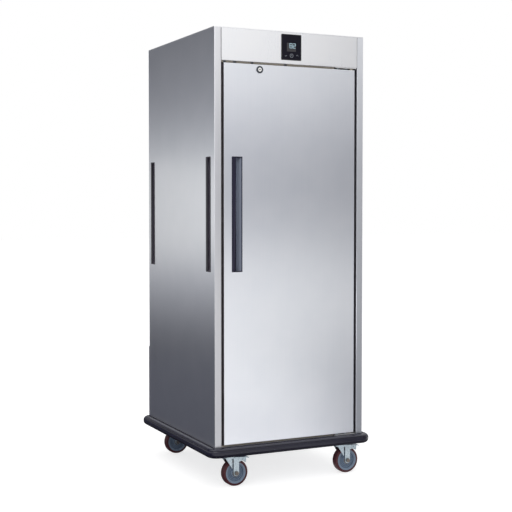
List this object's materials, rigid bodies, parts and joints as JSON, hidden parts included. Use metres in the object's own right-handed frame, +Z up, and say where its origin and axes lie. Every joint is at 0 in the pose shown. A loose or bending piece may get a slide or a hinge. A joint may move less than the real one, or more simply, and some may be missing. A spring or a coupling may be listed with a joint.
{
  "type": "heated banquet cart",
  "caption": "Tall stainless heated banquet cart with a hinged solid door, recessed grips, touch control, rubber bumper, wire shelves, air circulation and swivel casters.",
  "frame": {"origin": "on the floor under the middle of the cart", "axes": "+Z up, the door faces -Y, +X to the right of someone facing the door"},
  "size_m": [0.728, 0.8, 1.8],
  "materials": {
    "stainless_brushed": "satin",
    "stainless_door": "satin",
    "liner_steel": "satin",
    "zinc_steel": "satin",
    "chrome_wire": "polished",
    "black_plastic": "satin",
    "black_rubber": "matte",
    "grey_gasket": "matte",
    "insulation": "matte",
    "touch_glass": "gloss",
    "hub_plastic": "satin",
    "tread_polyurethane": "satin",
    "motor_enamel": "satin",
    "lock_nickel": "polished",
    "bronze_bush": "satin",
    "cream_plastic": "satin",
    "heater_sheath": "matte",
    "breaker_plastic": "matte"
  },
  "bodies": {
    "cabinet": {"side_panel_left": "stainless_brushed", "side_panel_right": "stainless_brushed", "base_frame": "stainless_brushed", "bumper": "black_rubber", "back_panel": "stainless_brushed", "top_panel": "stainless_brushed", "fascia": "stainless_brushed", "sill": "stainless_brushed", "door_frame": "breaker_plastic", "liner_left": "liner_steel", "liner_right": "liner_steel", "liner_back": "liner_steel", "liner_ceiling": "liner_steel", "liner_floor": "liner_steel", "wall_insulation": "insulation", "side_grips_left": "black_plastic", "side_grips_right": "black_plastic", "door_hinges": "zinc_steel", "controller_body": "black_plastic", "controller_front": "touch_glass", "rack_posts": "liner_steel", "shelf_slides": "liner_steel", "wire_shelves": "chrome_wire", "air_baffle": "liner_steel", "fan_motor": "motor_enamel", "heater_element": "heater_sheath", "temperature_probe": "liner_steel", "rear_cover": "stainless_brushed", "power_inlet": "black_plastic", "terminal_block": "cream_plastic", "wiring": "black_rubber", "screws": "zinc_steel", "caster_bolts": "zinc_steel", "caster_plates": "zinc_steel"},
    "door": {"door_skin": "stainless_door", "door_edge_trim": "black_plastic", "door_liner": "liner_steel", "door_core": "insulation", "door_gasket": "grey_gasket", "door_handle": "black_plastic", "lock_barrel": "lock_nickel", "hinge_bushes": "bronze_bush"},
    "lock": {"lock_plug": "lock_nickel", "lock_cam": "zinc_steel"},
    "fan": {"fan_wheel": "liner_steel"},
    "caster_front_left": {"caster_fork_front_left": "zinc_steel"},
    "wheel_front_left": {"wheel_hub_front_left": "hub_plastic", "wheel_tread_front_left": "tread_polyurethane"},
    "pedal_front_left": {"brake_pedal_front_left": "zinc_steel"},
    "caster_front_right": {"caster_fork_front_right": "zinc_steel"},
    "wheel_front_right": {"wheel_hub_front_right": "hub_plastic", "wheel_tread_front_right": "tread_polyurethane"},
    "pedal_front_right": {"brake_pedal_front_right": "zinc_steel"},
    "caster_rear_left": {"caster_fork_rear_left": "zinc_steel"},
    "wheel_rear_left": {"wheel_hub_rear_left": "hub_plastic", "wheel_tread_rear_left": "tread_polyurethane"},
    "caster_rear_right": {"caster_fork_rear_right": "zinc_steel"},
    "wheel_rear_right": {"wheel_hub_rear_right": "hub_plastic", "wheel_tread_rear_right": "tread_polyurethane"}
  },
  "joints": [
    {"name": "door_swing", "type": "hinge", "parent": "cabinet", "child": "door", "pos_m": [0.28, -0.358, 0.919], "axis": [0, 0, 1], "range_deg": [0, 120]},
    {"name": "lock_turn", "type": "hinge", "parent": "door", "child": "lock", "pos_m": [-0.139, -0.368, 1.643], "axis": [0, 1, 0], "range_deg": [0, 90]},
    {"name": "fan_spin", "type": "hinge", "parent": "cabinet", "child": "fan", "pos_m": [0, 0.3, 0.33], "axis": [0, 1, 0], "continuous": true},
    {"name": "swivel_front_left", "type": "hinge", "parent": "cabinet", "child": "caster_front_left", "pos_m": [-0.254, -0.316, 0.118], "axis": [0, 0, 1], "continuous": true},
    {"name": "roll_front_left", "type": "hinge", "parent": "caster_front_left", "child": "wheel_front_left", "pos_m": [-0.226, -0.316, 0.053], "axis": [0, 1, 0], "continuous": true},
    {"name": "brake_front_left", "type": "hinge", "parent": "caster_front_left", "child": "pedal_front_left", "pos_m": [-0.199, -0.316, 0.106], "axis": [0, 1, 0], "range_deg": [0, 12]},
    {"name": "swivel_front_right", "type": "hinge", "parent": "cabinet", "child": "caster_front_right", "pos_m": [0.254, -0.316, 0.118], "axis": [0, 0, 1], "continuous": true},
    {"name": "roll_front_right", "type": "hinge", "parent": "caster_front_right", "child": "wheel_front_right", "pos_m": [0.282, -0.316, 0.053], "axis": [0, 1, 0], "continuous": true},
    {"name": "brake_front_right", "type": "hinge", "parent": "caster_front_right", "child": "pedal_front_right", "pos_m": [0.309, -0.316, 0.106], "axis": [0, 1, 0], "range_deg": [0, 12]},
    {"name": "swivel_rear_left", "type": "hinge", "parent": "cabinet", "child": "caster_rear_left", "pos_m": [-0.254, 0.316, 0.118], "axis": [0, 0, 1], "continuous": true},
    {"name": "roll_rear_left", "type": "hinge", "parent": "caster_rear_left", "child": "wheel_rear_left", "pos_m": [-0.226, 0.316, 0.053], "axis": [0, 1, 0], "continuous": true},
    {"name": "swivel_rear_right", "type": "hinge", "parent": "cabinet", "child": "caster_rear_right", "pos_m": [0.254, 0.316, 0.118], "axis": [0, 0, 1], "continuous": true},
    {"name": "roll_rear_right", "type": "hinge", "parent": "caster_rear_right", "child": "wheel_rear_right", "pos_m": [0.282, 0.316, 0.053], "axis": [0, 1, 0], "continuous": true}
  ]
}
